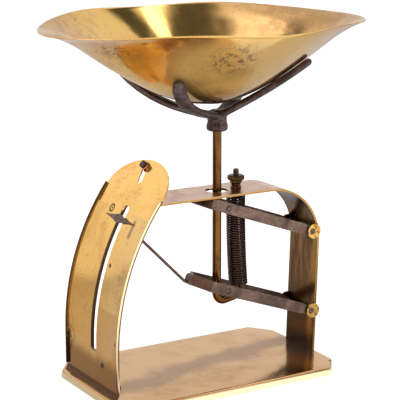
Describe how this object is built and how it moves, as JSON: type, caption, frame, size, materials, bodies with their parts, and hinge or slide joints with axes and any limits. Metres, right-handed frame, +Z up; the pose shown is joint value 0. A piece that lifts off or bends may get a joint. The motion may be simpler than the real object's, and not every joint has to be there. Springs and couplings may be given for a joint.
{
  "type": "counter scale",
  "caption": "Spring counter scale: boat-shaped brass pan on a four-armed spider, plunger rod guided by two yokes, visible tension spring, and a wire pointer on a curved brass dial over a tray base.",
  "frame": {"origin": "middle of the base tray's underside, on the surface that the scale stands on", "axes": "+Z up, +X along the tray from the dial plate to the post, +Y away from the side with the slanting view"},
  "size_m": [0.33, 0.2034, 0.3238],
  "materials": {
    "tray_brass": "worn satin with brown patina",
    "strap_brass": "dull brown patina, bright edges",
    "dial_brass": "satin with stains",
    "rod_brass": "satin olive patina",
    "nut_bronze": "dark aged",
    "yoke_iron": "brown aged iron strip",
    "spider_iron": "aged dark casting",
    "dark_steel": "blackened",
    "spring_steel": "blackened wire",
    "pan_brass": "polished with mottled patina"
  },
  "bodies": {
    "root": {"base_tray": "tray_brass", "frame_strap": "strap_brass", "foot_rivets": "dark_steel", "dial_plate": "dial_brass", "dial_rivet": "dark_steel", "clamp_washer": "strap_brass", "clamp_screw": "dark_steel", "upper_pivot_pin": "dark_steel", "lower_pivot_pin": "dark_steel", "collar_rings": "nut_bronze"},
    "lower_lever": {"lower_yoke": "yoke_iron", "nose_rivet": "dark_steel", "pointer_wire": "dark_steel", "pointer": "dark_steel"},
    "upper_lever": {"upper_yoke": "yoke_iron"},
    "plunger": {"plunger_rod": "rod_brass", "upper_cross_pin": "dark_steel", "lower_cross_pin": "dark_steel", "pan_spider": "spider_iron"},
    "weighing_pan": {"pan": "pan_brass"},
    "nut": {"adjusting_nut": "nut_bronze"},
    "screw": {"spring_screw": "rod_brass"},
    "coil": {"spring": "spring_steel"}
  },
  "joints": [
    {"name": "lower_lever_swing", "type": "hinge", "parent": "root", "child": "lower_lever", "pos_m": [0.108, 0, 0.046], "axis": [0, -1, 0], "range_deg": [0, 28], "stiffness_Nm_per_rad": 4.5, "springref_deg": -17.19},
    {"name": "upper_lever_swing", "type": "hinge", "parent": "root", "child": "upper_lever", "pos_m": [0.108, 0, 0.1215], "axis": [0, -1, 0], "range_deg": [0, 28]},
    {"name": "plunger_level", "type": "hinge", "parent": "lower_lever", "child": "plunger", "pos_m": [0.01956, 0, 0.07784], "axis": [0, -1, 0], "range_deg": [-28, 0]},
    {"name": "pan_lift", "type": "slide", "parent": "plunger", "child": "weighing_pan", "axis": [0, 0, 1], "range_m": [0, 0.05]},
    {"name": "nut_turn", "type": "hinge", "parent": "root", "child": "nut", "pos_m": [0.03926, 0, 0.175], "axis": [0, 0, 1], "range_deg": [-360, 360]},
    {"name": "screw_lift", "type": "slide", "parent": "root", "child": "screw", "axis": [0, 0, 1], "range_m": [-0.001, 0.001]},
    {"name": "spring_stretch", "type": "slide", "parent": "screw", "child": "coil", "axis": [-0.1018, 0, -0.9948], "range_m": [0, 0.0455], "deforming": ["spring"]}
  ],
  "couplings": [
    {"joint": "upper_lever_swing", "follows": "lower_lever_swing", "ratio": 1},
    {"joint": "plunger_level", "follows": "lower_lever_swing", "ratio": -1},
    {"joint": "spring_stretch", "follows": "lower_lever_swing", "m_per_rad": 0.093},
    {"joint": "screw_lift", "follows": "nut_turn", "m_per_rad": 0.000159}
  ]
}
